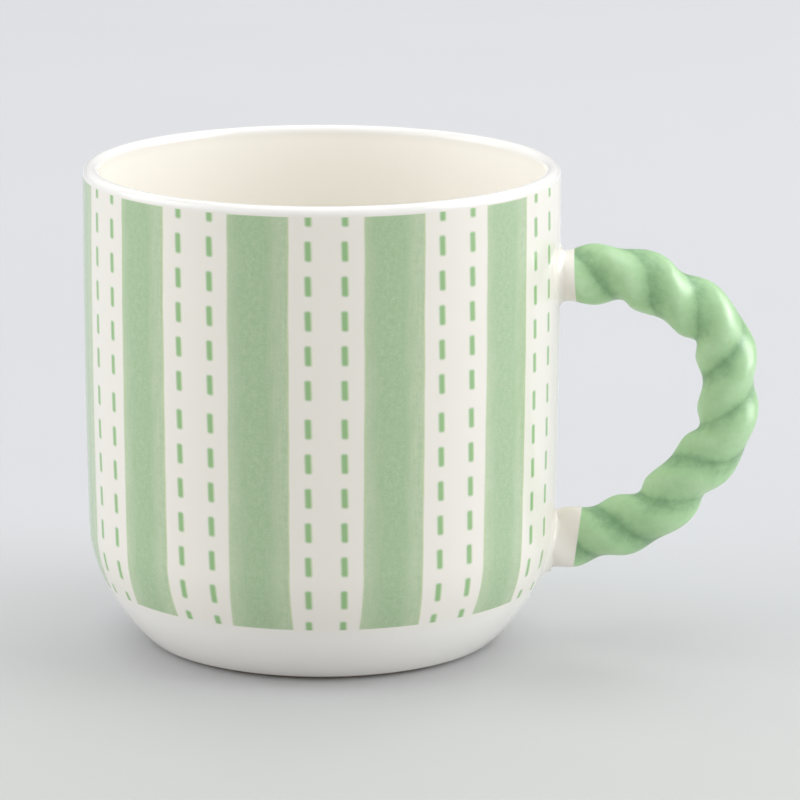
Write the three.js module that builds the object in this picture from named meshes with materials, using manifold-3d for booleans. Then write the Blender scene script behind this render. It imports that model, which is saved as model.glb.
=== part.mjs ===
// A stoneware mug: a turned white cup with a softly rounded base and a handle
// made of two clay coils, laid together as a rope and joined to the cup with slip.
// Millimetres, +Z up. The mug stands on z = 0 with its handle along +X, and the
// box around it is centred over the origin.

import * as THREE from 'three';
import { mergeVertices } from 'three/addons/utils/BufferGeometryUtils.js';
import Module from 'manifold-3d';

// ---- Driving dimensions ----

// Cup
const rimRadius = 44.47;
const cupHeight = 90.35;
const wallDraw = 0.38;          // how much narrower the wall is above the base corner than at the rim
const wallSwell = 0.25;         // how far the middle of the wall stands out from a straight one
const lipThickness = 2.8;
const beltThickness = 3.6;      // the wall above the base corner
const floorThickness = 4.5;

// Rounded base corner, from the wall down to the underside
const cornerHeight = 22.8;
const cornerWallPull = 12.5;    // how far the corner keeps following the wall
const cornerFootPull = 0.4;     // how far it keeps following the underside
const undersideSlope = THREE.MathUtils.degToRad(25);

// Rounded corner inside, from the straight wall down to the floor
const innerCornerHeight = 25;
const innerWallPull = 12.5;
const innerFloorPull = 13;
const innerFloorRadius = 21;    // flat part of the floor

// Foot ring
const footRadius = 33.3;        // where the rounded corner ends
const footHeight = 0.8;
const footInset = 1.7;          // from there in to the ring, so that the cup overhangs it
const footRingWidth = 3.6;
const footEdge = 0.45;          // bevel on both edges of the ring
const recessDepth = 1.3;        // how far the underside is sunk inside the ring

// Handle rope
const upperRootHeight = 69.9;
const lowerRootHeight = 18.7;
const handleReach = 31.7;       // from the wall to the outermost point of the rope's centre line
const lowerRootSlope = THREE.MathUtils.degToRad(17.5);
const rootDepth = 4;            // how far the rope is drawn on behind the wall before it is trimmed
const coilRadius = 4.6;         // a coil's radius, measured across the rope
const coilOffset = 1.15;        // from the rope's centre line to a coil's centre
const coilWidening = 1.03;      // a coil lies at a slant, so its cut across the rope is wider than high
const ropeLay = 20.5;           // length of one full turn of the rope
const layAngleAtWall = THREE.MathUtils.degToRad(56);

// The bow of the rope between its roots, in shares of its reach and of its height
const bow = [
  [0.42, 1.005],
  [0.587, 0.956],
  [0.927, 0.82],
  [1, 0.565],
  [0.962, 0.401],
  [0.741, 0.241],
  [0.565, 0.114],
];

// Slip joints
const slipThickness = 1;
const slipFlare = 0.8;          // how far the slip squeezes out past the rope at the wall

// Clearance that touching pieces keep
const gap = 0.3;

// Fineness of the facets
const cupSegments = 64;
const wallSegments = 6;
const cornerSegments = 8;
const lipSegments = 6;
const coilSegments = 9;
const flatFacet = 1.25;         // widest facet across a coil's flat
const turnPerStep = THREE.MathUtils.degToRad(13);
const slipSegments = 32;

// ---- Sizes that follow ----

const beltRadius = rimRadius - wallDraw;
const lipRadius = lipThickness / 2;
const lipCentreHeight = cupHeight - lipRadius;
const floorHeight = recessDepth + floorThickness;
const ropeRadius = coilRadius + coilOffset;

// ---- Materials ----

function glaze(name, colour, roughness) {
  const material = new THREE.MeshStandardMaterial({ color: colour, roughness, metalness: 0 });
  material.name = name;
  return material;
}

const whiteGlaze = glaze('white_glaze', 0xf4f2ec, 0.18);
const greenGlaze = glaze('green_glaze', 0x9cc796, 0.16);
const paleGreenGlaze = glaze('pale_green_glaze', 0xa4cc9d, 0.16);
const slipGlaze = glaze('slip_glaze', 0xefece4, 0.22);

// ---- Solids ----

const wasm = await Module();
wasm.setup();

function toSolid(geometry) {
  const bare = geometry.clone();
  bare.deleteAttribute('normal');
  bare.deleteAttribute('uv');
  const merged = mergeVertices(bare, 1e-4);
  return new wasm.Manifold(new wasm.Mesh({
    numProp: 3,
    vertProperties: new Float32Array(merged.attributes.position.array),
    triVerts: new Uint32Array(merged.index.array),
  }));
}

function toGeometry(solid) {
  const mesh = solid.getMesh();
  const geometry = new THREE.BufferGeometry();
  geometry.setAttribute('position', new THREE.BufferAttribute(mesh.vertProperties, 3));
  geometry.setIndex(new THREE.BufferAttribute(mesh.triVerts, 1));
  geometry.computeVertexNormals();
  return geometry;
}

// A solid of revolution about +Z from a profile of [radius, height] points
function turned(profile, segments) {
  const points = profile.map(([radius, height]) => new THREE.Vector2(radius, height));
  const geometry = new THREE.LatheGeometry(points, segments);
  geometry.rotateX(Math.PI / 2);
  return geometry;
}

// ---- Cup profile ----

function samples(curve, count) {
  return curve.getPoints(count).map((point) => [point.x, point.y]);
}

// Outer side from the foot ring up to where the lip begins to round over
function outerSide() {
  const corner = new THREE.CubicBezierCurve(
    new THREE.Vector2(footRadius, footHeight),
    new THREE.Vector2(
      footRadius + cornerFootPull * Math.cos(undersideSlope),
      footHeight + cornerFootPull * Math.sin(undersideSlope),
    ),
    new THREE.Vector2(beltRadius, cornerHeight - cornerWallPull),
    new THREE.Vector2(beltRadius, cornerHeight),
  );
  const wall = new THREE.QuadraticBezierCurve(
    new THREE.Vector2(beltRadius, cornerHeight),
    new THREE.Vector2(
      (beltRadius + rimRadius) / 2 + 2 * wallSwell,
      (cornerHeight + lipCentreHeight) / 2,
    ),
    new THREE.Vector2(rimRadius, lipCentreHeight),
  );
  return [...samples(corner, cornerSegments), ...samples(wall, wallSegments).slice(1)];
}

// Inner side from the lip down to the flat of the floor
function innerSide() {
  const innerBelt = beltRadius - beltThickness;
  const corner = new THREE.CubicBezierCurve(
    new THREE.Vector2(innerBelt, innerCornerHeight),
    new THREE.Vector2(innerBelt, innerCornerHeight - innerWallPull),
    new THREE.Vector2(innerFloorRadius + innerFloorPull, floorHeight),
    new THREE.Vector2(innerFloorRadius, floorHeight),
  );
  return [[rimRadius - lipThickness, lipCentreHeight], ...samples(corner, cornerSegments)];
}

function lip() {
  const points = [];
  for (let i = 1; i < lipSegments; i += 1) {
    const turn = (Math.PI * i) / lipSegments;
    points.push([
      rimRadius - lipRadius + lipRadius * Math.cos(turn),
      lipCentreHeight + lipRadius * Math.sin(turn),
    ]);
  }
  return points;
}

function footRing() {
  const outer = footRadius - footInset;
  const inner = outer - footRingWidth;
  return [
    [0, recessDepth],
    [inner - footEdge, recessDepth],
    [inner, footEdge],
    [inner + footEdge, 0],
    [outer - footEdge, 0],
    [outer, footEdge],
  ];
}

function cupBody() {
  const profile = [
    ...footRing(),
    ...outerSide(),
    ...lip(),
    ...innerSide(),
    [0, floorHeight],
  ];
  return turned(profile, cupSegments);
}

// The cup's outer skin grown outwards by a clearance, solid right through to the axis
function grownSkin(clearance) {
  const side = outerSide().map(([radius, height]) => [radius + clearance, height]);
  const profile = [[0, -rootDepth], [footRadius + clearance, -rootDepth], ...side];
  profile.push([rimRadius + clearance, cupHeight + rootDepth], [0, cupHeight + rootDepth]);
  return toSolid(turned(profile, cupSegments));
}

// Radius of the cup's outer side at a height
function wallRadiusAt(height) {
  const side = outerSide();
  const above = side.findIndex((point) => point[1] >= height);
  const [lowRadius, lowHeight] = side[above - 1];
  const [highRadius, highHeight] = side[above];
  return THREE.MathUtils.mapLinear(height, lowHeight, highHeight, lowRadius, highRadius);
}

// ---- Handle rope ----

const upperWallRadius = wallRadiusAt(upperRootHeight);
const lowerWallRadius = wallRadiusAt(lowerRootHeight);

// Centre line of the rope: through the upper root, round the bow and through the lower root,
// with both ends inside the wall
function ropeLine() {
  const rise = upperRootHeight - lowerRootHeight;
  const point = (x, z) => new THREE.Vector3(x, 0, z);
  return new THREE.CatmullRomCurve3([
    point(upperWallRadius - rootDepth, upperRootHeight),
    point(upperWallRadius, upperRootHeight),
    ...bow.map(([out, up]) => (
      point(upperWallRadius + out * handleReach, lowerRootHeight + up * rise)
    )),
    point(lowerWallRadius, lowerRootHeight),
    point(
      lowerWallRadius - rootDepth * Math.cos(lowerRootSlope),
      lowerRootHeight - rootDepth * Math.sin(lowerRootSlope),
    ),
  ]);
}

const rope = ropeLine();
const ropeLength = rope.getLength();
const ropeSteps = Math.ceil((2 * Math.PI * ropeLength) / ropeLay / turnPerStep);

// Half of the rope's section: a coil pressed flat where it meets its partner on the rope's centre plane.
// The flat has points along it, because it winds round the rope's line as a propeller blade does.
function coilSection() {
  const flat = gap / 2;
  const reach = Math.acos((flat - coilOffset) / coilRadius);
  const coilHeight = coilRadius * coilWidening;
  const round = new THREE.EllipseCurve(coilOffset, 0, coilRadius, coilHeight, -reach, reach);
  const points = round.getPoints(coilSegments);
  const top = coilHeight * Math.sin(reach);
  const flatSegments = Math.ceil((2 * top) / flatFacet);
  for (let i = 1; i < flatSegments; i += 1) {
    points.push(new THREE.Vector2(flat, THREE.MathUtils.lerp(top, -top, i / flatSegments)));
  }
  return new THREE.Shape(points);
}

// A straight bar of that section, then turned about the rope's line and bent along it
function layCoil(startTurn) {
  const bar = new THREE.ExtrudeGeometry(coilSection(), {
    depth: ropeLength,
    steps: ropeSteps,
    bevelEnabled: false,
  });
  const position = bar.attributes.position;
  const vertex = new THREE.Vector3();
  for (let i = 0; i < position.count; i += 1) {
    vertex.fromBufferAttribute(position, i);
    const share = THREE.MathUtils.clamp(vertex.z / ropeLength, 0, 1);
    const turn = startTurn + layAngleAtWall + (2 * Math.PI * (vertex.z - rootDepth)) / ropeLay;
    const outward = vertex.x * Math.cos(turn) - vertex.y * Math.sin(turn);
    const sideways = vertex.x * Math.sin(turn) + vertex.y * Math.cos(turn);
    const centre = rope.getPointAt(share);
    const along = rope.getTangentAt(share);
    position.setXYZ(
      i,
      centre.x - along.z * outward,
      -sideways,
      centre.z + along.x * outward,
    );
  }
  return bar;
}

function handleStrand(startTurn) {
  const trimmed = toSolid(layCoil(startTurn)).subtract(grownSkin(gap + slipThickness + gap));
  return toGeometry(trimmed);
}

// ---- Slip joints ----

// A pad of slip between the wall and the end of the rope, squeezed out to a flare at the wall
function slipJoint(radius, height, slope) {
  const halfDepth = 2 * slipThickness + slipFlare;
  const profile = [
    [0, -halfDepth],
    [ropeRadius + slipFlare, -halfDepth],
    [ropeRadius + slipFlare, gap],
    [ropeRadius, gap + slipThickness],
    [ropeRadius, halfDepth],
    [0, halfDepth],
  ];
  const pad = turned(profile, slipSegments);
  pad.rotateY(Math.PI / 2 - slope);
  pad.translate(radius, 0, height);
  const curved = toSolid(pad)
    .intersect(grownSkin(gap + slipThickness))
    .subtract(grownSkin(gap));
  return toGeometry(curved);
}

// ---- Assembly ----

function piece(name, geometry, material) {
  const mesh = new THREE.Mesh(geometry, material);
  mesh.name = name;
  return mesh;
}

const mug = new THREE.Group();
mug.add(
  piece('cup_body', cupBody(), whiteGlaze),
  piece('handle_strand_1', handleStrand(0), greenGlaze),
  piece('handle_strand_2', handleStrand(Math.PI), paleGreenGlaze),
  piece('upper_slip_joint', slipJoint(upperWallRadius, upperRootHeight, 0), slipGlaze),
  piece('lower_slip_joint', slipJoint(lowerWallRadius, lowerRootHeight, lowerRootSlope), slipGlaze),
);

const outline = new THREE.Box3().setFromObject(mug, true);
mug.position.x = -(outline.min.x + outline.max.x) / 2;
mug.updateMatrixWorld(true);

export default mug;
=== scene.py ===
"""A stoneware mug: a white glazed cup with a printed pattern of green stripes and
stitch lines, and a green handle laid up as a rope from two coils of clay.

Metres, +Z up. The cup stands on z = 0 and the handle points along +X.
"""

import math

import bpy
from mathutils import Matrix, Vector


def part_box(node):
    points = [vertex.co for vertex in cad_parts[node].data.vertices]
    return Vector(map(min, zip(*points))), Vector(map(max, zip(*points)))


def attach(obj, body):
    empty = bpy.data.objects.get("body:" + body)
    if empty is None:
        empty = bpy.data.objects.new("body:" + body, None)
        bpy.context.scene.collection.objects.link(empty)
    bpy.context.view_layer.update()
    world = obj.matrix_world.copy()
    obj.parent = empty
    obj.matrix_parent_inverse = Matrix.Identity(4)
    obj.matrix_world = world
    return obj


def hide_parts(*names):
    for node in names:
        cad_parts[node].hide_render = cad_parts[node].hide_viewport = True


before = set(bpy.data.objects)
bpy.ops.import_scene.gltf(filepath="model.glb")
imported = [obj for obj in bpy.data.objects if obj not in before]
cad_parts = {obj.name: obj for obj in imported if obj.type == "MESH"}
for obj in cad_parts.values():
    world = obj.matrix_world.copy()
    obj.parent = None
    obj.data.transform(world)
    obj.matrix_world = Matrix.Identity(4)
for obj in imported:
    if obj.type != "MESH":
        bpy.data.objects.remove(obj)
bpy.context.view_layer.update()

MM = 0.001

# ---- Sizes of the cup, from its place in the frame ----

cup_low, cup_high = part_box("cup_body")
AXIS_X = (cup_low.x + cup_high.x) / 2
CUP_HEIGHT = cup_high.z
RIM_RADIUS = 44.47 * MM
LIP_RADIUS = 1.4 * MM
BELT_RADIUS = 44.09 * MM      # the wall draws in a little towards the base
WALL_SWELL = 0.25 * MM        # and swells a little between the two
BELT_THICKNESS = 3.6 * MM
FLOOR_TOP = 5.8 * MM
SPIN_STEPS = 256
LIP_STEPS = 12                # for each side's quarter turn
OUTER_WALL_ROWS = 14
INNER_WALL_ROWS = 10
CORNER_STEPS = 40
INNER_CORNER_STEPS = 24
MERGE_DISTANCE = 0.005 * MM

CORNER_TOP = 22.8 * MM
CORNER_WALL_PULL = 12.5 * MM
CORNER_FOOT_PULL = 0.4 * MM
UNDERSIDE_SLOPE = math.radians(25)
INNER_CORNER_TOP = 25 * MM
INNER_WALL_PULL = 12.5 * MM
INNER_FLOOR_PULL = 13 * MM
INNER_FLOOR_RADIUS = 21 * MM

FOOT_RADIUS = 33.3 * MM
FOOT_TOP = 0.8 * MM
FOOT_INSET = 1.7 * MM
FOOT_RING_WIDTH = 3.6 * MM
FOOT_EDGE = 0.45 * MM         # the ring's two edges are eased by this much
FOOT_EASE = 0.3 * FOOT_EDGE
FOOT_RECESS = 1.3 * MM
BARE_ROWS = 5                 # profile steps across the foot ring, which is left bare

# ---- Sizes of the rope handle ----
# The bow is given as (out, up) in shares of the reach and of the height between the roots.

UPPER_ROOT = 69.9 * MM
LOWER_ROOT = 18.7 * MM
REACH = 31.7 * MM
LOWER_SLOPE = math.radians(17.5)
ROOT_DEPTH = 4 * MM
COIL_RADIUS = 4.6 * MM
COIL_OFFSET = 1.15 * MM
COIL_WIDENING = 0.945
CREASE_SOFTNESS = 2.2 * MM    # how far the glaze fills the crease between the coils
ROPE_LAY = 20.5 * MM
LAY_ANGLE = math.radians(56)
BOW = (
    (0.42, 1.005),
    (0.587, 0.956),
    (0.927, 0.82),
    (1, 0.565),
    (0.962, 0.401),
    (0.741, 0.241),
    (0.565, 0.114),
)
SLIP_FILLET = 1.35 * MM
SLIP_SINK = 0.4 * MM
COIL_POINTS = 48
FLAT_POINTS = 12
ROPE_STEPS = 420
FILLET_STEPS = 10
FILLET_POINTS = 128
LINE_RESOLUTION = 64
SLIDE_PASSES = 4              # enough to bring a point of the slip onto the wall

# ---- Layout of the print: degrees round the cup, millimetres down the wall ----

PRINT_START = 19.5            # first stitch pair, measured from the handle
PRINT_PERIOD = 32.1
PRINT_REPEATS = 10
PRINT_TOP = 2.5               # run from the top of the lip
PRINT_END = 79.5
PRINT_BLUR = 0.1
STRIPE_HALF = 5.75
STRIPE_SIDE = (1.03, 0.95)    # where the colour gives out, in half widths of the stripe
STRIPE_WAVER = 0.5            # how far its sides wander
STITCH_SPREAD = 8.45
STITCH_LENGTH = 3.64
STITCH_WIDTH = 1.22
STITCH_ROUND = 0.42
STITCH_BLUR = 0.32
STITCH_SLANT = 0.035
STITCH_ROW = 2.33
STITCH_PITCH = 6.32
LOWER_STITCH_ROW = 41.02
LOWER_STITCH_PITCH = 6.4
STITCH_SPLIT = 37.45          # where the upper rows give way to the lower ones
STITCH_LIGHT_SIDE = (0.25, 0.55)          # across a stitch, where its colour turns lighter

# ---- Camera ----

CAMERA_DISTANCE = 0.819
CAMERA_HEIGHT = 0.2371
CAMERA_SWING = math.radians(5.3)          # how far the camera stands round towards the handle
CAMERA_PAN = 0.0179
CAMERA_TILT = 0.2302
CAMERA_ROLL = 0.0034
CAMERA_LENS = 200.8
CAMERA_SENSOR = 36


# ---- Modelling helpers ----

SMOOTH_ANGLE = math.radians(40)


def deselect():
    """Nothing selected and nothing active, in object mode."""
    for other in bpy.context.selected_objects:
        other.select_set(False)
    bpy.context.view_layer.objects.active = None


def named(name):
    """The object just added, under its own name."""
    piece = bpy.context.object
    piece.name = name
    piece.data.name = name
    return piece


def select_only(piece):
    deselect()
    piece.select_set(True)
    bpy.context.view_layer.objects.active = piece


def edit(select="SELECT"):
    bpy.ops.object.mode_set(mode="EDIT")
    bpy.ops.mesh.select_all(action=select)


def leave_edit():
    bpy.ops.object.mode_set(mode="OBJECT")


def apply_modifiers(piece):
    select_only(piece)
    for modifier in list(piece.modifiers):
        bpy.ops.object.modifier_apply(modifier=modifier.name)


def smooth(piece):
    select_only(piece)
    bpy.ops.object.shade_smooth_by_angle(angle=SMOOTH_ANGLE)


def select_where(piece, test):
    """Edit mode, with the vertices that pass a test selected, and the edges between them."""
    mesh = piece.data
    chosen = [test(vertex.co) for vertex in mesh.vertices]
    mesh.vertices.foreach_set("select", chosen)
    mesh.edges.foreach_set("select", [all(chosen[i] for i in edge.vertices) for edge in mesh.edges])
    mesh.polygons.foreach_set("select", [False] * len(mesh.polygons))
    bpy.ops.object.mode_set(mode="EDIT")


def bezier(p0, p1, p2, p3, count):
    """Points along a cubic curve of (radius, height) pairs, both ends included."""
    points = []
    for i in range(count + 1):
        t = i / count
        weights = ((1 - t) ** 3, 3 * (1 - t) ** 2 * t, 3 * (1 - t) * t ** 2, t ** 3)
        points.append(tuple(
            sum(w * p[axis] for w, p in zip(weights, (p0, p1, p2, p3))) for axis in (0, 1)
        ))
    return points


# ---- Cup ----

def cup_outer_side():
    """From the top of the lip down the wall and round the base corner to the foot ring."""
    centre = (RIM_RADIUS - LIP_RADIUS, CUP_HEIGHT - LIP_RADIUS)
    points = []
    for i in range(LIP_STEPS + 1):
        turn = math.pi / 2 * (1 - i / LIP_STEPS)
        points.append((
            centre[0] + LIP_RADIUS * math.cos(turn),
            centre[1] + LIP_RADIUS * math.sin(turn),
        ))
    swollen = (RIM_RADIUS + BELT_RADIUS) / 2 + 2 * WALL_SWELL
    for i in range(1, OUTER_WALL_ROWS):
        t = i / OUTER_WALL_ROWS
        points.append((
            (1 - t) ** 2 * RIM_RADIUS + 2 * t * (1 - t) * swollen + t * t * BELT_RADIUS,
            centre[1] + (CORNER_TOP - centre[1]) * t,
        ))
    points += bezier(
        (BELT_RADIUS, CORNER_TOP),
        (BELT_RADIUS, CORNER_TOP - CORNER_WALL_PULL),
        (
            FOOT_RADIUS + CORNER_FOOT_PULL * math.cos(UNDERSIDE_SLOPE),
            FOOT_TOP + CORNER_FOOT_PULL * math.sin(UNDERSIDE_SLOPE),
        ),
        (FOOT_RADIUS, FOOT_TOP),
        CORNER_STEPS,
    )
    return points


def cup_foot():
    """Round the foot ring and across the sunk underside to the axis."""
    outer = FOOT_RADIUS - FOOT_INSET
    inner = outer - FOOT_RING_WIDTH
    return [
        (outer, FOOT_EDGE),
        (outer - FOOT_EASE, FOOT_EASE),
        (outer - FOOT_EDGE, 0),
        (inner + FOOT_EDGE, 0),
        (inner + FOOT_EASE, FOOT_EASE),
        (inner, FOOT_EDGE),
        (inner - FOOT_EDGE, FOOT_RECESS),
        (inner / 2, FOOT_RECESS),
        (0, FOOT_RECESS),
    ]


def cup_inner_side():
    """From the top of the lip down inside to the middle of the floor."""
    centre = (RIM_RADIUS - LIP_RADIUS, CUP_HEIGHT - LIP_RADIUS)
    points = []
    for i in range(1, LIP_STEPS + 1):
        turn = math.pi / 2 * (1 + i / LIP_STEPS)
        points.append((
            centre[0] + LIP_RADIUS * math.cos(turn),
            centre[1] + LIP_RADIUS * math.sin(turn),
        ))
    inner_rim = RIM_RADIUS - 2 * LIP_RADIUS
    inner_belt = BELT_RADIUS - BELT_THICKNESS
    for i in range(1, INNER_WALL_ROWS):
        share = i / INNER_WALL_ROWS
        points.append((
            inner_rim + (inner_belt - inner_rim) * share,
            centre[1] + (INNER_CORNER_TOP - centre[1]) * share,
        ))
    points += bezier(
        (inner_belt, INNER_CORNER_TOP),
        (inner_belt, INNER_CORNER_TOP - INNER_WALL_PULL),
        (INNER_FLOOR_RADIUS + INNER_FLOOR_PULL, FLOOR_TOP),
        (INNER_FLOOR_RADIUS, FLOOR_TOP),
        INNER_CORNER_STEPS,
    )
    return points + [(INNER_FLOOR_RADIUS / 2, FLOOR_TOP), (0, FLOOR_TOP)]


def run_lengths(points, sign):
    """Signed lengths along a side from the top of the lip, in millimetres."""
    lengths = []
    length = 0
    before = (RIM_RADIUS - LIP_RADIUS, CUP_HEIGHT)
    for point in points:
        length += math.dist(before, point)
        lengths.append(sign * length / MM)
        before = point
    return lengths


def draw_profile(name, points):
    """A line of vertices drawn point by point in the plane through the cup's axis."""
    deselect()
    radius, height = points[0]
    bpy.ops.mesh.primitive_plane_add(size=MM, location=(AXIS_X + radius, 0, height))
    piece = named(name)
    bpy.ops.object.transform_apply(location=True, rotation=True, scale=True)
    edit()
    bpy.ops.mesh.merge(type="CENTER")
    for (r0, z0), (r1, z1) in zip(points, points[1:]):
        step = (r1 - r0, 0, z1 - z0)
        bpy.ops.mesh.extrude_region_move(TRANSFORM_OT_translate={"value": step})
    leave_edit()
    return piece


def make_cup():
    """A profile from the middle of the floor over the lip to the underside, spun round."""
    inner = cup_inner_side()
    outer = cup_outer_side() + cup_foot()
    cup = draw_profile("glazed_cup", inner[::-1] + outer)
    run = cup.data.attributes.new("run", "FLOAT", "POINT")
    run.data.foreach_set("value", run_lengths(inner, -1)[::-1] + run_lengths(outer, 1))
    edit()
    bpy.ops.mesh.spin(
        steps=SPIN_STEPS, angle=math.tau, center=(AXIS_X, 0, 0), axis=(0, 0, 1),
    )
    bpy.ops.mesh.select_all(action="SELECT")
    bpy.ops.mesh.remove_doubles(threshold=MERGE_DISTANCE)
    bpy.ops.mesh.normals_make_consistent(inside=False)
    leave_edit()
    smooth(cup)
    return cup


# ---- Rope handle ----

def wall_radius(height):
    """Radius of the cup's outer side at a height."""
    side = cup_outer_side()
    for (r0, z0), (r1, z1) in zip(side, side[1:]):
        if z1 <= height <= z0:
            return r1 + (r0 - r1) * (height - z1) / (z0 - z1)
    return BELT_RADIUS


def rope_points():
    """The rope's line from root to root round the bow, its ends drawn on behind the wall."""
    upper = AXIS_X + wall_radius(UPPER_ROOT)
    lower = AXIS_X + wall_radius(LOWER_ROOT)
    rise = UPPER_ROOT - LOWER_ROOT
    points = [(upper - ROOT_DEPTH, UPPER_ROOT), (upper, UPPER_ROOT)]
    points += [(upper + out * REACH, LOWER_ROOT + up * rise) for out, up in BOW]
    points.append((lower, LOWER_ROOT))
    points.append((
        lower - ROOT_DEPTH * math.cos(LOWER_SLOPE),
        LOWER_ROOT - ROOT_DEPTH * math.sin(LOWER_SLOPE),
    ))
    return [Vector((x, 0, z)) for x, z in points]


def rope_pulls(before, start, end, after):
    """How far the line pulls out of start and into end, by the roots of the spans around."""
    spans = ((before, start), (start, end), (end, after))
    d0, d1, d2 = ((b - a).length ** 0.5 for a, b in spans)
    out = (start - before) / d0 - (end - before) / (d0 + d1) + (end - start) / d1
    into = (end - start) / d1 - (after - start) / (d1 + d2) + (after - end) / d2
    return out * d1 / 3, into * d1 / 3


def make_rope_line():
    """The rope's line as a curve object that the coils are bent along."""
    points = rope_points()
    ghosts = [2 * points[0] - points[1]] + points + [2 * points[-1] - points[-2]]
    curve = bpy.data.curves.new("rope_line", "CURVE")
    curve.dimensions = "3D"
    curve.resolution_u = LINE_RESOLUTION
    spline = curve.splines.new("BEZIER")
    spline.bezier_points.add(len(points) - 1)
    for knot, point in zip(spline.bezier_points, points):
        knot.handle_left_type = knot.handle_right_type = "FREE"
        knot.co = knot.handle_left = knot.handle_right = point
    for i in range(len(points) - 1):
        out, into = rope_pulls(*ghosts[i:i + 4])
        spline.bezier_points[i].handle_right = points[i] + out
        spline.bezier_points[i + 1].handle_left = points[i + 1] - into
    line = bpy.data.objects.new("rope_line", curve)
    bpy.context.scene.collection.objects.link(line)
    return line, spline.calc_length(resolution=4 * LINE_RESOLUTION)


def section_radius(angle):
    """Radius of the rope's two-lobed section, with the crease between the coils softened."""
    half_width = COIL_RADIUS * COIL_WIDENING

    def lobe(offset):
        a = (math.cos(angle) / COIL_RADIUS) ** 2 + (math.sin(angle) / half_width) ** 2
        b = -2 * offset * math.cos(angle) / COIL_RADIUS ** 2
        c = (offset / COIL_RADIUS) ** 2 - 1
        return (-b + math.sqrt(b * b - 4 * a * c)) / (2 * a)

    near, far = lobe(COIL_OFFSET), lobe(-COIL_OFFSET)
    blend = max(CREASE_SOFTNESS - abs(near - far), 0) / CREASE_SOFTNESS
    return max(near, far) + blend * blend * CREASE_SOFTNESS / 4


def coil_outline():
    """Half of the rope's section: round outside, flat where the other coil lies against it."""
    outline = []
    for i in range(COIL_POINTS + 1):
        angle = math.pi * (i / COIL_POINTS - 0.5)
        radius = section_radius(angle)
        outline.append((radius * math.cos(angle), radius * math.sin(angle), angle))
    top = outline[-1][1]
    for i in range(1, FLAT_POINTS):
        outline.append((0, top * (1 - 2 * i / FLAT_POINTS), math.pi / 2))
    return outline


def make_coil(name, line, length, start_turn):
    """One coil: half of the rope's section, screwed along a line and bent round the handle."""
    outline = coil_outline()
    deselect()
    bpy.ops.mesh.primitive_circle_add(
        vertices=len(outline), radius=COIL_RADIUS, fill_type="NOTHING",
    )
    coil = named(name)
    crown = coil.data.attributes.new("crown", "FLOAT", "POINT")
    turn = Matrix.Rotation(start_turn, 3, "Z")
    for vertex, value, (x, y, angle) in zip(coil.data.vertices, crown.data, outline):
        vertex.co = turn @ Vector((x, y, 0))
        # The lean paints light on one flank of each crest and shade on the other
        value.value = math.cos(angle) - LIT_FLANK_LEAN * math.sin(2 * angle)
    screw = coil.modifiers.new("lay", "SCREW")
    screw.axis = "Z"
    screw.angle = math.tau * length / ROPE_LAY
    screw.screw_offset = length
    screw.steps = screw.render_steps = ROPE_STEPS
    screw.use_merge_vertices = False
    apply_modifiers(coil)
    edit("DESELECT")
    bpy.ops.mesh.select_non_manifold()
    bpy.ops.mesh.edge_face_add()
    bpy.ops.mesh.select_all(action="SELECT")
    bpy.ops.mesh.normals_make_consistent(inside=False)
    leave_edit()
    bend = coil.modifiers.new("bow", "CURVE")
    bend.object = line
    bend.deform_axis = "POS_Z"
    apply_modifiers(coil)
    smooth(coil)
    return coil


# ---- Slip joints ----

def slip_profile():
    """Across the slip, as (out from the rope, off the wall): rope to wall, then sunk in."""
    points = []
    for i in range(FILLET_STEPS + 1):
        turn = math.pi / 2 * i / FILLET_STEPS
        points.append((
            SLIP_FILLET * (1 - math.cos(turn)),
            SLIP_FILLET * (1 - math.sin(turn)),
        ))
    return points + [
        (SLIP_FILLET, -SLIP_SINK),
        (-SLIP_SINK, -SLIP_SINK),
        (-SLIP_SINK, SLIP_FILLET),
    ]


def wall_x(y, z):
    return AXIS_X + math.sqrt(wall_radius(z) ** 2 - y * y)


def slip_point(root, leaving, across, turn, twist, angle, out, off):
    """A point of the slip, at an angle round the rope, out from its side and off the wall."""
    reach = section_radius(angle - turn - twist * off) + out
    point = root + reach * (math.cos(angle) * across - math.sin(angle) * Vector((0, 1, 0)))
    for _ in range(SLIDE_PASSES):
        point += leaving * (wall_x(point.y, point.z) + off - point.x) / leaving.x
    return point


def make_slip(name, root, leaving, across, turn, twist):
    """A collar of slip wiped round the rope at the wall, hollow like a fingertip's stroke."""
    profile = slip_profile()
    deselect()
    bpy.ops.mesh.primitive_circle_add(
        vertices=FILLET_POINTS, radius=COIL_RADIUS, location=root, rotation=(0, math.pi / 2, 0),
        fill_type="NOTHING",
    )
    slip = named(name)
    bpy.ops.object.transform_apply(location=True, rotation=True, scale=True)
    edit()
    for _ in profile[1:]:
        bpy.ops.mesh.extrude_edges_move(TRANSFORM_OT_translate={"value": (SLIP_SINK, 0, 0)})
    leave_edit()
    vertices = slip.data.vertices
    for row, (out, off) in enumerate(profile):
        for i in range(FILLET_POINTS):
            angle = math.tau * i / FILLET_POINTS
            place = slip_point(root, leaving, across, turn, twist, angle, out, off)
            vertices[row * FILLET_POINTS + i].co = place
    edit("DESELECT")
    bpy.ops.mesh.select_non_manifold()
    bpy.ops.mesh.bridge_edge_loops()
    bpy.ops.mesh.select_all(action="SELECT")
    bpy.ops.mesh.normals_make_consistent(inside=False)
    leave_edit()
    smooth(slip)
    return slip


# ---- Materials ----

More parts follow.
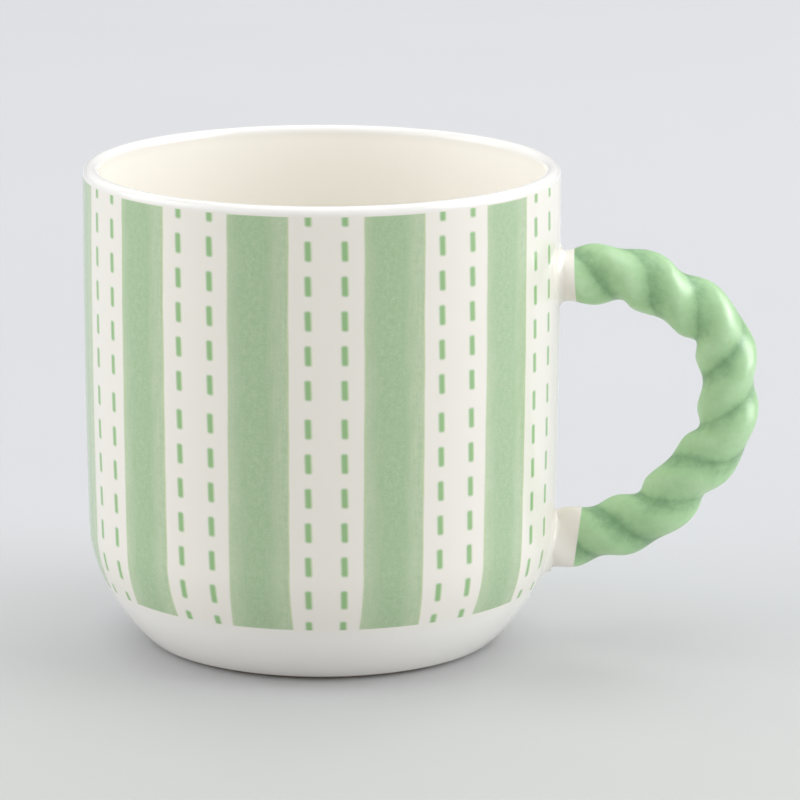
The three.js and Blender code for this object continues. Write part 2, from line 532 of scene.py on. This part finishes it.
WHITE = (0.878, 0.841, 0.767)
# A lighter white: a painted highlight on the lip and painted light on the band below the print
PAINTED_LIGHT_WHITE = (0.92, 0.9, 0.865)
# Cream: painted light inside the cup, for light bouncing round in it; in the slip it is the slip's
# own tone
CREAM = (0.965, 0.932, 0.86)
ROOT_WHITE = (0.9, 0.855, 0.78)
IRON_SPECK = (0.18, 0.1, 0.05)
BARE_CLAY = (0.42, 0.32, 0.24)
STRIPE_DENSE = (0.36, 0.52, 0.3)
STRIPE_THIN = (0.56, 0.66, 0.455)
STRIPE_EDGE = (0.64, 0.7, 0.4)
STITCH_GREEN = (0.32, 0.53, 0.25)
STITCH_LIGHT = (0.45, 0.63, 0.32)
# The pale crown colour is a painted sheen, standing in for the glaze's highlight
HANDLE_CROWN_SHEEN = (0.52, 0.75, 0.45)
HANDLE_GREEN = (0.42, 0.66, 0.35)
# The crease colour is partly glaze pooled in the crease and partly painted shade
HANDLE_POOLED_SHADE = (0.19, 0.37, 0.18)
GROUND_DARK = (0.555, 0.558, 0.573)
GROUND_LIGHT = (0.58, 0.584, 0.6)
# The floor's front tone is painted light
GROUND_PAINTED_FRONT_LIGHT = (0.565, 0.565, 0.545)
GLAZE_GLOSS = 0.12
HANDLE_GLOSS = 0.3
LIT_FLANK_LEAN = 0.25              # painted light and shade: each crest is made lighter on one flank and darker on the other

# Where the green stops short of the wall: millimetres out from the root, its lean with height
UPPER_ROOT_WHITE = 2.95
UPPER_ROOT_LEAN = -0.065
LOWER_ROOT_WHITE = 4.65
LOWER_ROOT_LEAN = 0.124
ROOT_EDGE_BLUR = 0.12
ROOT_REACH = 12               # how far above and below a root its white can lie

# Unevenness of the glaze on each piece: ripple and peel in millimetres, share of specks
CUP_GRAIN = {"ripple": 0.03, "peel": 0.002, "specks": 0.004}
HANDLE_GRAIN = {"ripple": 0.06, "peel": 0.002, "specks": 0.0}
SLIP_GRAIN = {"ripple": 0.05, "peel": 0.003, "specks": 0.004}

# Grain of the glaze, as counts per metre
RIPPLE_SCALE = 70
PEEL_SCALE = 900
CLOUD_SCALE = 45
SPECK_SCALE = 130
SPECK_SIZE = (0.012, 0.018)   # smallest, and how much larger the largest is
GLOSS_CLOUD = 0.08            # how far the gloss varies
STROKE_SCALE = 220
DRIFT_SCALE = 60
STROKE_DEPTH = 1.6
DRIFT_DEPTH = 1.3
CREASE_FADE = (-0.4, 0.85)    # from the crease's pooled glaze and painted shade to green, by the height of the crown
CROWN_FADE = (0.7, 1.5)       # from green to the painted sheen on the crown

# Grain of the print, as counts per millimetre, and how it is drawn out along the stripe
WAVER_SCALE, WAVER_DRAW = 0.35, 0.22
STREAK_SCALE, STREAK_DRAW = 1.8, 0.08
BLOTCH_SCALE, BLOTCH_DRAW = 0.3, 0.45
MOTTLE_SCALE = 0.9
PAPER_SCALE = 3.5

# How the colour lies across a stripe, which runs from -1 to 1
THIN_LEFT = (-0.35, -1.0)
THIN_RIGHT = (0.25, 0.7)
WIDENING_START, WIDENING_RATE = -0.2, 0.004
RAGGED_MOTTLE, RAGGED_BLOTCH = 0.8, 0.7
WASH_BASE = 0.25
WASH_LEFT = 0.5
WASH_RIGHT = 0.42
STREAK_DEPTH, STREAK_RIGHT_DEPTH = 0.25, 0.4
MOTTLE_DEPTH = 1.2
PAPER_DEPTH = 1.3
LEFT_EDGE, RIGHT_EDGE = (-0.9, -0.98), (0.92, 0.98)
LEFT_EDGE_SHARE = 0.4
EDGE_SHARE = 0.6

# Tones of the white, by the run from the top of the lip. The cream inside and the lighter lip and
# band below the print are painted light on one white glaze.
INSIDE_LIGHT_FADE = (-1.0, -4.0)
# The lip's painted highlight, and the painted light on the band below the print
LIP_FADE_IN, LIP_FADE_OUT = (-3.0, -1.5), (2.6, 1.8)
BASE_FADE = (PRINT_END - 2, PRINT_END + 3)
BASE_SHARE = 0.9
BARE_BLUR = 0.15
BARE_ROUGHNESS = 0.6
PAPER_ROUGHNESS = 0.6
GROUND_FADE = (0.1, -0.16)    # from the back of the floor to the front, where its tone is painted as light


class Graph:
    """Short spellings for adding and wiring nodes in one tree."""

    def __init__(self, tree):
        self.tree = tree

    def add(self, kind, **settings):
        node = self.tree.nodes.new(kind)
        for key, value in settings.items():
            setattr(node, key, value)
        return node

    def feed(self, socket, value):
        if isinstance(value, bpy.types.NodeSocket):
            self.tree.links.new(value, socket)
        elif value is not None:
            socket.default_value = value

    def math(self, operation, *values):
        node = self.add("ShaderNodeMath", operation=operation)
        for socket, value in zip(node.inputs, values):
            self.feed(socket, value)
        return node.outputs[0]

    def step(self, value, low, high):
        """0 below low, 1 above high, smooth between; low may be the higher of the two."""
        node = self.add("ShaderNodeMapRange", interpolation_type="SMOOTHSTEP")
        for name, number in zip(("Value", "From Min", "From Max"), (value, low, high)):
            self.feed(node.inputs[name], number)
        return node.outputs[0]

    def mix(self, share, first, second):
        node = self.add("ShaderNodeMix", data_type="RGBA")
        self.feed(node.inputs[0], share)
        for socket, value in ((node.inputs[6], first), (node.inputs[7], second)):
            if isinstance(value, tuple):
                value = (*value, 1)
            self.feed(socket, value)
        return node.outputs[2]

    def noise(self, place, scale, detail=2.0, roughness=0.5):
        node = self.add("ShaderNodeTexNoise")
        for name, value in (
            ("Vector", place), ("Scale", scale), ("Detail", detail), ("Roughness", roughness),
        ):
            self.feed(node.inputs[name], value)
        return node.outputs["Fac"]

    def uneven(self, place, scale, detail=2.0, roughness=0.5):
        """Noise about zero."""
        return self.math("SUBTRACT", self.noise(place, scale, detail, roughness), 0.5)

    def stretched(self, place, draw):
        """The place drawn out along the stripe."""
        node = self.add("ShaderNodeMapping")
        self.feed(node.inputs["Vector"], place)
        node.inputs["Scale"].default_value = (1, draw, 1)
        return node.outputs[0]

    def from_row(self, run, first, pitch):
        """How far below the nearest of a row of places, pitch apart."""
        past = self.math("SUBTRACT", run, first)
        nearest = self.math("ROUND", self.math("DIVIDE", past, pitch))
        return self.math("SUBTRACT", past, self.math("MULTIPLY", nearest, pitch))

    def beyond(self, value, limit):
        """How far a value lies outside a limit on either side, else 0."""
        over = self.math("SUBTRACT", self.math("ABSOLUTE", value), limit)
        return self.math("MAXIMUM", over, 0)

    def group(self, tree, **values):
        node = self.add("ShaderNodeGroup", node_tree=tree)
        for name, value in values.items():
            self.feed(node.inputs[name.replace("_", " ").capitalize()], value)
        return node


def new_group(name, inputs, outputs):
    """An empty node group with named sockets, its graph, and its two ends."""
    tree = bpy.data.node_groups.new(name, "ShaderNodeTree")
    for direction, sockets in (("INPUT", inputs), ("OUTPUT", outputs)):
        for socket, kind in sockets:
            tree.interface.new_socket(socket, in_out=direction, socket_type="NodeSocket" + kind)
    graph = Graph(tree)
    return graph, graph.add("NodeGroupInput"), graph.add("NodeGroupOutput")


def glaze_surface_group():
    """What fired glaze does: long ripples, orange peel, cloudy gloss, iron specks."""
    graph, given, result = new_group(
        "glaze surface",
        (("Ripple", "Float"), ("Peel", "Float"), ("Gloss", "Float"), ("Specks", "Float")),
        (("Height", "Float"), ("Roughness", "Float"), ("Cloud", "Float"),
         ("Speck mask", "Float")),
    )
    place = graph.add("ShaderNodeTexCoord").outputs["Object"]
    ripple = graph.noise(place, RIPPLE_SCALE, detail=1)
    peel = graph.noise(place, PEEL_SCALE, detail=2)
    height = graph.math(
        "ADD",
        graph.math("MULTIPLY", ripple, given.outputs["Ripple"]),
        graph.math("MULTIPLY", peel, given.outputs["Peel"]),
    )
    cloud = graph.noise(place, CLOUD_SCALE, detail=3, roughness=0.6)
    roughness = graph.math(
        "ADD",
        given.outputs["Gloss"],
        graph.math("MULTIPLY", graph.math("SUBTRACT", cloud, 0.5), GLOSS_CLOUD),
    )
    cells = graph.add("ShaderNodeTexVoronoi", feature="F1")
    graph.feed(cells.inputs["Vector"], place)
    graph.feed(cells.inputs["Scale"], SPECK_SCALE)
    chance = graph.add("ShaderNodeSeparateColor")
    graph.feed(chance.inputs[0], cells.outputs["Color"])
    smallest, spread = SPECK_SIZE
    size = graph.math("MULTIPLY_ADD", chance.outputs[1], spread, smallest)
    dot = graph.math("LESS_THAN", cells.outputs["Distance"], size)
    chosen = graph.math("LESS_THAN", chance.outputs[0], given.outputs["Specks"])
    for name, value in (
        ("Height", height),
        ("Roughness", roughness),
        ("Cloud", cloud),
        ("Speck mask", graph.math("MULTIPLY", dot, chosen)),
    ):
        graph.feed(result.inputs[name], value)
    return graph.tree


def printed_pattern_group():
    """Watercolour stripes between pairs of stitch lines, left blank round the handle."""
    graph, given, result = new_group(
        "printed pattern",
        (("Run", "Float"),),
        (("Stripe", "Float"), ("Wash", "Float"), ("Edge", "Float"), ("Stitch", "Float"),
         ("Stitch edge", "Float")),
    )
    m = graph.math
    run = given.outputs["Run"]
    centre = graph.add("ShaderNodeMapping")
    graph.feed(centre.inputs["Vector"], graph.add("ShaderNodeTexCoord").outputs["Object"])
    centre.inputs["Location"].default_value = (-AXIS_X, 0, 0)
    place = graph.add("ShaderNodeSeparateXYZ")
    graph.feed(place.inputs[0], centre.outputs[0])
    x, y = place.outputs[0], place.outputs[1]
    radius = m("MULTIPLY", m("SQRT", m("MULTIPLY_ADD", x, x, m("MULTIPLY", y, y))), 1 / MM)
    around = m("DEGREES", m("ARCTAN2", y, x))
    around = m("FLOORED_MODULO", around, 360)
    repeat = m("DIVIDE", m("SUBTRACT", around, PRINT_START), PRINT_PERIOD)
    width = m("MULTIPLY", radius, math.radians(PRINT_PERIOD))
    printed = m(
        "MULTIPLY",
        graph.step(run, PRINT_TOP - PRINT_BLUR, PRINT_TOP + PRINT_BLUR),
        graph.step(run, PRINT_END + PRINT_BLUR, PRINT_END - PRINT_BLUR),
    )

    # Stripes, across in millimetres from each stripe's middle
    across = m("MULTIPLY", m("SUBTRACT", m("FRACT", repeat), 0.5), width)
    wash_place = graph.add("ShaderNodeCombineXYZ")
    graph.feed(wash_place.inputs[0], across)
    graph.feed(wash_place.inputs[1], run)
    on_stripe = wash_place.outputs[0]
    waver = graph.uneven(graph.stretched(on_stripe, WAVER_DRAW), WAVER_SCALE, 2)
    waver = m("MULTIPLY", waver, STRIPE_WAVER)
    side = m("DIVIDE", m("ADD", across, waver), STRIPE_HALF)
    inside = m("MULTIPLY", m("GREATER_THAN", repeat, 0), m("LESS_THAN", repeat, PRINT_REPEATS))
    stripe = graph.step(m("ABSOLUTE", side), *STRIPE_SIDE)
    stripe = m("MULTIPLY", stripe, m("MULTIPLY", printed, inside))

    # How thin the colour lies: pale down the left, streaked down the right, cloudy all over
    streaks = graph.uneven(graph.stretched(on_stripe, STREAK_DRAW), STREAK_SCALE, 3)
    blotches = graph.uneven(graph.stretched(on_stripe, BLOTCH_DRAW), BLOTCH_SCALE, 3, 0.6)
    mottle = graph.uneven(on_stripe, MOTTLE_SCALE, 4, 0.7)
    paper = graph.uneven(on_stripe, PAPER_SCALE, 3, 0.7)
    widening = m("MULTIPLY_ADD", run, WIDENING_RATE, WIDENING_START)
    ragged = m("MULTIPLY_ADD", mottle, RAGGED_MOTTLE, m("MULTIPLY", blotches, RAGGED_BLOTCH))
    thin_left = graph.step(m("ADD", side, m("SUBTRACT", ragged, widening)), *THIN_LEFT)
    thin_right = graph.step(m("SUBTRACT", side, ragged), *THIN_RIGHT)
    wash = m("MULTIPLY_ADD", thin_right, WASH_RIGHT, WASH_BASE)
    wash = m("MULTIPLY_ADD", thin_left, WASH_LEFT, wash)
    streak_depth = m("MULTIPLY_ADD", thin_right, STREAK_RIGHT_DEPTH, STREAK_DEPTH)
    wash = m("MULTIPLY_ADD", streaks, streak_depth, wash)
    wash = m("MULTIPLY_ADD", mottle, MOTTLE_DEPTH, wash)
    wash = m("MULTIPLY_ADD", paper, PAPER_DEPTH, wash)
    right_edge = graph.step(side, *RIGHT_EDGE)
    edge = m("MULTIPLY_ADD", graph.step(side, *LEFT_EDGE), LEFT_EDGE_SHARE, right_edge)

    # Stitches, from each stitch's own middle
    nearest = m("ROUND", repeat)
    offset = m("SUBTRACT", repeat, nearest)
    lane = m("MULTIPLY", m("SIGN", offset), STITCH_SPREAD / 2 / PRINT_PERIOD)
    upper = graph.from_row(run, STITCH_ROW, STITCH_PITCH)
    lower = graph.from_row(run, LOWER_STITCH_ROW, LOWER_STITCH_PITCH)
    below = m("GREATER_THAN", run, STITCH_SPLIT)
    down = m("MULTIPLY_ADD", below, m("SUBTRACT", lower, upper), upper)
    sideways = m("MULTIPLY", m("SUBTRACT", offset, lane), width)
    sideways = m("MULTIPLY_ADD", down, -STITCH_SLANT, sideways)
    beyond_x = graph.beyond(sideways, STITCH_WIDTH / 2 - STITCH_ROUND)
    beyond_y = graph.beyond(down, STITCH_LENGTH / 2 - STITCH_ROUND)
    beyond = m("SQRT", m("MULTIPLY_ADD", beyond_x, beyond_x, m("MULTIPLY", beyond_y, beyond_y)))
    stitch = graph.step(beyond, STITCH_ROUND + STITCH_BLUR, STITCH_ROUND - STITCH_BLUR)
    stitch = m("MULTIPLY", stitch, printed)
    stitch_edge = graph.step(sideways, *STITCH_LIGHT_SIDE)
    for name, value in (
        ("Stripe", stripe),
        ("Wash", wash),
        ("Edge", edge),
        ("Stitch", stitch),
        ("Stitch edge", stitch_edge),
    ):
        graph.feed(result.inputs[name], value)
    return graph.tree


def new_material(name):
    """A material with only a shader and its output, and the graph to build on."""
    material = bpy.data.materials.new(name)
    material.use_nodes = True
    tree = material.node_tree
    for node in list(tree.nodes):
        if node.type != "OUTPUT_MATERIAL":
            tree.nodes.remove(node)
    graph = Graph(tree)
    shader = graph.add("ShaderNodeBsdfPrincipled")
    tree.links.new(shader.outputs[0], tree.nodes["Material Output"].inputs[0])
    return material, graph, shader


def attribute(graph, name):
    """A value that the piece carries in its mesh."""
    return graph.add("ShaderNodeAttribute", attribute_name=name).outputs["Fac"]


def bump(graph, shader, height, depth):
    """Feeds a height, counted in depths, to the shader's normal."""
    node = graph.add("ShaderNodeBump")
    node.inputs["Strength"].default_value = 1
    node.inputs["Distance"].default_value = depth
    graph.feed(node.inputs["Height"], height)
    graph.feed(shader.inputs["Normal"], node.outputs[0])


def white_glaze_material(bare_from, bare_to):
    """White glaze over the print, with bare clay between two runs, where the foot stands."""
    material, graph, shader = new_material("white glaze")
    m = graph.math
    run = attribute(graph, "run")
    surface = graph.group(glaze_surface, gloss=GLAZE_GLOSS, **CUP_GRAIN)
    # Painted light: the inside is a lighter, warmer cream for the light bouncing round in the cup
    colour = graph.mix(graph.step(run, *INSIDE_LIGHT_FADE), WHITE, CREAM)
    # Painted highlight on the lip and painted light on the band below the print
    lip = m("MULTIPLY", graph.step(run, *LIP_FADE_IN), graph.step(run, *LIP_FADE_OUT))
    below = m("MULTIPLY", graph.step(run, *BASE_FADE), BASE_SHARE)
    colour = graph.mix(m("MAXIMUM", lip, below), colour, PAINTED_LIGHT_WHITE)
    print_node = graph.group(printed_pattern, run=run)
    wash = graph.mix(print_node.outputs["Wash"], STRIPE_DENSE, STRIPE_THIN)
    wash = graph.mix(m("MULTIPLY", print_node.outputs["Edge"], EDGE_SHARE), wash, STRIPE_EDGE)
    colour = graph.mix(print_node.outputs["Stripe"], colour, wash)
    stitch = graph.mix(print_node.outputs["Stitch edge"], STITCH_GREEN, STITCH_LIGHT)
    colour = graph.mix(print_node.outputs["Stitch"], colour, stitch)
    colour = graph.mix(surface.outputs["Speck mask"], colour, IRON_SPECK)
    bare = m(
        "MULTIPLY",
        graph.step(run, bare_from - BARE_BLUR, bare_from + BARE_BLUR),
        graph.step(run, bare_to + BARE_BLUR, bare_to - BARE_BLUR),
    )
    graph.feed(shader.inputs["Base Color"], graph.mix(bare, colour, BARE_CLAY))
    roughness = m("MULTIPLY_ADD", bare, BARE_ROUGHNESS, surface.outputs["Roughness"])
    graph.feed(shader.inputs["Roughness"], roughness)
    bump(graph, shader, surface.outputs["Height"], MM)
    return material


def white_root(graph, place, root_height, reach, lean):
    """1 on the part of the rope nearer the wall than reach, measured out from a root."""
    m = graph.math
    wall = AXIS_X + wall_radius(root_height)
    out = m("MULTIPLY", m("SUBTRACT", place.outputs[0], wall), 1 / MM)
    up = m("MULTIPLY", m("SUBTRACT", place.outputs[2], root_height), 1 / MM)
    leaning = m("MULTIPLY_ADD", up, -lean, out)
    near = graph.step(leaning, reach + ROOT_EDGE_BLUR, reach - ROOT_EDGE_BLUR)
    return m("MULTIPLY", near, m("LESS_THAN", m("ABSOLUTE", up), ROOT_REACH))


def green_glaze_material():
    """Green glaze brushed over the rope, paler on the crowns as a painted sheen, with its two roots
    left white.
    """
    material, graph, shader = new_material("green glaze")
    m = graph.math
    crown = attribute(graph, "crown")
    surface = graph.group(glaze_surface, gloss=HANDLE_GLOSS, **HANDLE_GRAIN)
    where = graph.add("ShaderNodeTexCoord").outputs["Object"]
    strokes = graph.uneven(where, STROKE_SCALE, 4, 0.7)
    drifts = graph.uneven(where, DRIFT_SCALE, 2)
    # The brush strokes and drifts thin the glaze; the crown adds painted sheen and shade
    thin = m("MULTIPLY_ADD", strokes, STROKE_DEPTH, crown)
    thin = m("MULTIPLY_ADD", drifts, DRIFT_DEPTH, thin)
    # Pooled glaze and painted shade: the creases are darkened towards the crease colour
    colour = graph.mix(graph.step(thin, *CREASE_FADE), HANDLE_POOLED_SHADE, HANDLE_GREEN)
    # Painted sheen: the crowns are lightened towards the pale crown colour
    colour = graph.mix(graph.step(thin, *CROWN_FADE), colour, HANDLE_CROWN_SHEEN)
    place = graph.add("ShaderNodeSeparateXYZ")
    graph.feed(place.inputs[0], where)
    white = m(
        "MAXIMUM",
        white_root(graph, place, UPPER_ROOT, UPPER_ROOT_WHITE, UPPER_ROOT_LEAN),
        white_root(graph, place, LOWER_ROOT, LOWER_ROOT_WHITE, LOWER_ROOT_LEAN),
    )
    graph.feed(shader.inputs["Base Color"], graph.mix(white, colour, ROOT_WHITE))
    graph.feed(shader.inputs["Roughness"], surface.outputs["Roughness"])
    bump(graph, shader, surface.outputs["Height"], MM)
    return material


def slip_glaze_material():
    """White glaze over the wiped slip, creamier where it has run thick."""
    material, graph, shader = new_material("slip glaze")
    surface = graph.group(glaze_surface, gloss=GLAZE_GLOSS, **SLIP_GRAIN)
    colour = graph.mix(surface.outputs["Cloud"], ROOT_WHITE, CREAM)
    graph.feed(shader.inputs["Base Color"], colour)
    graph.feed(shader.inputs["Roughness"], surface.outputs["Roughness"])
    bump(graph, shader, surface.outputs["Height"], MM)
    return material


def floor_material():
    """Pale paper with a faint unevenness of tone, a little warmer towards the front as painted
    light.
    """
    material, graph, shader = new_material("pale floor")
    place = graph.add("ShaderNodeTexCoord").outputs["Object"]
    tone = graph.noise(place, 6, 3)
    colour = graph.mix(tone, GROUND_DARK, GROUND_LIGHT)
    across = graph.add("ShaderNodeSeparateXYZ")
    graph.feed(across.inputs[0], place)
    # Painted light: a warmer tone towards the front of the floor
    near = graph.step(across.outputs[1], *GROUND_FADE)
    graph.feed(shader.inputs["Base Color"], graph.mix(near, colour, GROUND_PAINTED_FRONT_LIGHT))
    shader.inputs["Roughness"].default_value = PAPER_ROUGHNESS
    return material


# ---- Making the mug ----

cup = make_cup()
rope_line, rope_length = make_rope_line()
TWIST = math.tau / ROPE_LAY
CURVE_TURN = math.pi / 2      # a coil bent along the curve comes out a quarter turn on
rope_start = LAY_ANGLE - TWIST * ROOT_DEPTH + CURVE_TURN
coil_1 = make_coil("rope_coil_1", rope_line, rope_length, rope_start)
coil_2 = make_coil("rope_coil_2", rope_line, rope_length, rope_start + math.pi)
bpy.data.objects.remove(rope_line)

upper_slip = make_slip(
    "upper_slip", Vector((AXIS_X + wall_radius(UPPER_ROOT), 0, UPPER_ROOT)),
    Vector((1, 0, 0)), Vector((0, 0, 1)), LAY_ANGLE, TWIST,
)
lower_slip = make_slip(
    "lower_slip", Vector((AXIS_X + wall_radius(LOWER_ROOT), 0, LOWER_ROOT)),
    Vector((math.cos(LOWER_SLOPE), 0, math.sin(LOWER_SLOPE))),
    Vector((math.sin(LOWER_SLOPE), 0, -math.cos(LOWER_SLOPE))),
    LAY_ANGLE + TWIST * (rope_length - 2 * ROOT_DEPTH), -TWIST,
)

outer_run = run_lengths(cup_outer_side() + cup_foot(), 1)
foot_rows = len(cup_outer_side())
glaze_surface = glaze_surface_group()
printed_pattern = printed_pattern_group()
white_glaze = white_glaze_material(outer_run[foot_rows], outer_run[foot_rows + BARE_ROWS])
green_glaze = green_glaze_material()
slip_glaze = slip_glaze_material()

for piece, material, slot, node in (
    (cup, white_glaze, "white_glaze", "cup_body"),
    (coil_1, green_glaze, "green_glaze", "handle_strand_1"),
    (coil_2, green_glaze, "green_glaze", "handle_strand_2"),
    (upper_slip, slip_glaze, "slip_glaze", "upper_slip_joint"),
    (lower_slip, slip_glaze, "slip_glaze", "lower_slip_joint"),
):
    piece.data.materials.clear()
    piece.data.materials.append(material)
    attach(piece, "root")
    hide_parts(node)


# ---- Floor, light and camera ----

ROOM_COLOUR = (0.97, 0.98, 1.0)
NEUTRAL = (1, 1, 1)
COOL = (0.94, 0.97, 1.0)
ROOM_LIGHT = 0.485
FLOOR_WIDTH = 6
FLOOR_DROP = 0.02 * MM
FLOOR_FRONT = 2.5
FLOOR_BACK = 3
SWEEP_RADIUS = 0.8
SWEEP_STEPS = 32
WALL_RISE = 1.6
LIGHT_TARGET = (0, 0, 0.05)   # the middle of the mug


def make_floor():
    """A seamless paper sweep: flat under the cup, curving up into a wall far behind it."""
    deselect()
    middle = (FLOOR_BACK - FLOOR_FRONT) / 2
    bpy.ops.mesh.primitive_plane_add(size=1, location=(0, middle, -FLOOR_DROP))
    floor = named("floor")
    floor.scale = (FLOOR_WIDTH, FLOOR_FRONT + FLOOR_BACK, 1)
    bpy.ops.object.transform_apply(location=True, rotation=True, scale=True)
    select_where(floor, lambda spot: spot.y > middle)
    bpy.ops.mesh.extrude_edges_move(TRANSFORM_OT_translate={"value": (0, 0, WALL_RISE)})
    leave_edit()
    select_where(floor, lambda spot: spot.y > middle and spot.z < WALL_RISE / 2)
    bpy.ops.mesh.bevel(offset=SWEEP_RADIUS, segments=SWEEP_STEPS)
    bpy.ops.mesh.select_all(action="SELECT")
    bpy.ops.mesh.normals_make_consistent(inside=False)
    leave_edit()
    smooth(floor)
    floor.data.materials.append(floor_material())


def soft_box(name, place, size, power, colour=NEUTRAL, diffuse=True, glossy=True):
    """A rectangle of light aimed at the mug, not seen by the camera itself."""
    light = bpy.data.lights.new(name, "AREA")
    light.shape = "RECTANGLE"
    light.size, light.size_y = size
    light.energy = power
    light.color = colour
    holder = bpy.data.objects.new(name, light)
    bpy.context.scene.collection.objects.link(holder)
    holder.location = place
    holder.visible_camera = False
    holder.visible_diffuse = diffuse
    holder.visible_glossy = glossy
    towards = Vector(LIGHT_TARGET) - holder.location
    holder.rotation_euler = towards.to_track_quat("-Z", "Y").to_euler()


def make_camera():
    camera = bpy.data.cameras.new("camera")
    camera.lens = CAMERA_LENS
    camera.sensor_width = CAMERA_SENSOR
    holder = bpy.data.objects.new("camera", camera)
    bpy.context.scene.collection.objects.link(holder)
    holder.matrix_world = (
        Matrix.Translation((
            AXIS_X + CAMERA_DISTANCE * math.sin(CAMERA_SWING),
            -CAMERA_DISTANCE * math.cos(CAMERA_SWING),
            CAMERA_HEIGHT,
        ))
        @ Matrix.Rotation(CAMERA_SWING - CAMERA_PAN, 4, "Z")
        @ Matrix.Rotation(math.pi / 2 - CAMERA_TILT, 4, "X")
        @ Matrix.Rotation(CAMERA_ROLL, 4, "Z")
    )
    bpy.context.scene.camera = holder


def set_surroundings():
    scene = bpy.context.scene
    scene.view_settings.view_transform = "Standard"
    world = bpy.data.worlds.new("pale room")
    world.use_nodes = True
    background = world.node_tree.nodes["Background"]
    background.inputs["Color"].default_value = (*ROOM_COLOUR, 1)
    background.inputs["Strength"].default_value = ROOM_LIGHT
    scene.world = world


make_floor()
set_surroundings()

# Two side boxes carry most of the light, and the top one the inside of the cup
soft_box("left soft box", (-1.6, -0.16, 0.72), (1.28, 1.44), 12.5, COOL)
soft_box("right soft box", (1.6, -0.16, 0.72), (1.28, 1.44), 16.4, COOL)
soft_box("top soft box", (0, 0, 1.2), (1, 1), 4.3)

# Small ones fill the shadows
soft_box("left front soft box", (-0.75, -0.7, 0.38), (0.7, 0.6), 1.0)
soft_box("left back soft box", (-0.75, 0.7, 0.7), (0.8, 0.9), 0.8)
soft_box("right back soft box", (0.75, 0.7, 0.7), (0.8, 0.9), 2.1)
soft_box("low front soft box", (0.3, -1.0, 0.2), (0.9, 0.3), 0.4)
soft_box("front soft box", (0, -0.7, 1.1), (1.4, 0.7), 0.2)

# Two cards only put a sheen on the glaze, and the last box only lights the sweep behind
soft_box("gloss card", (1.0, 0.2, 0.85), (0.9, 0.9), 11, diffuse=False)
soft_box("low gloss card", (1.3, 0.05, 0.4), (0.9, 0.7), 8, diffuse=False)
soft_box("backdrop soft box", (0, 1.6, 1.0), (2.0, 0.8), 13.2, glossy=False)

make_camera()
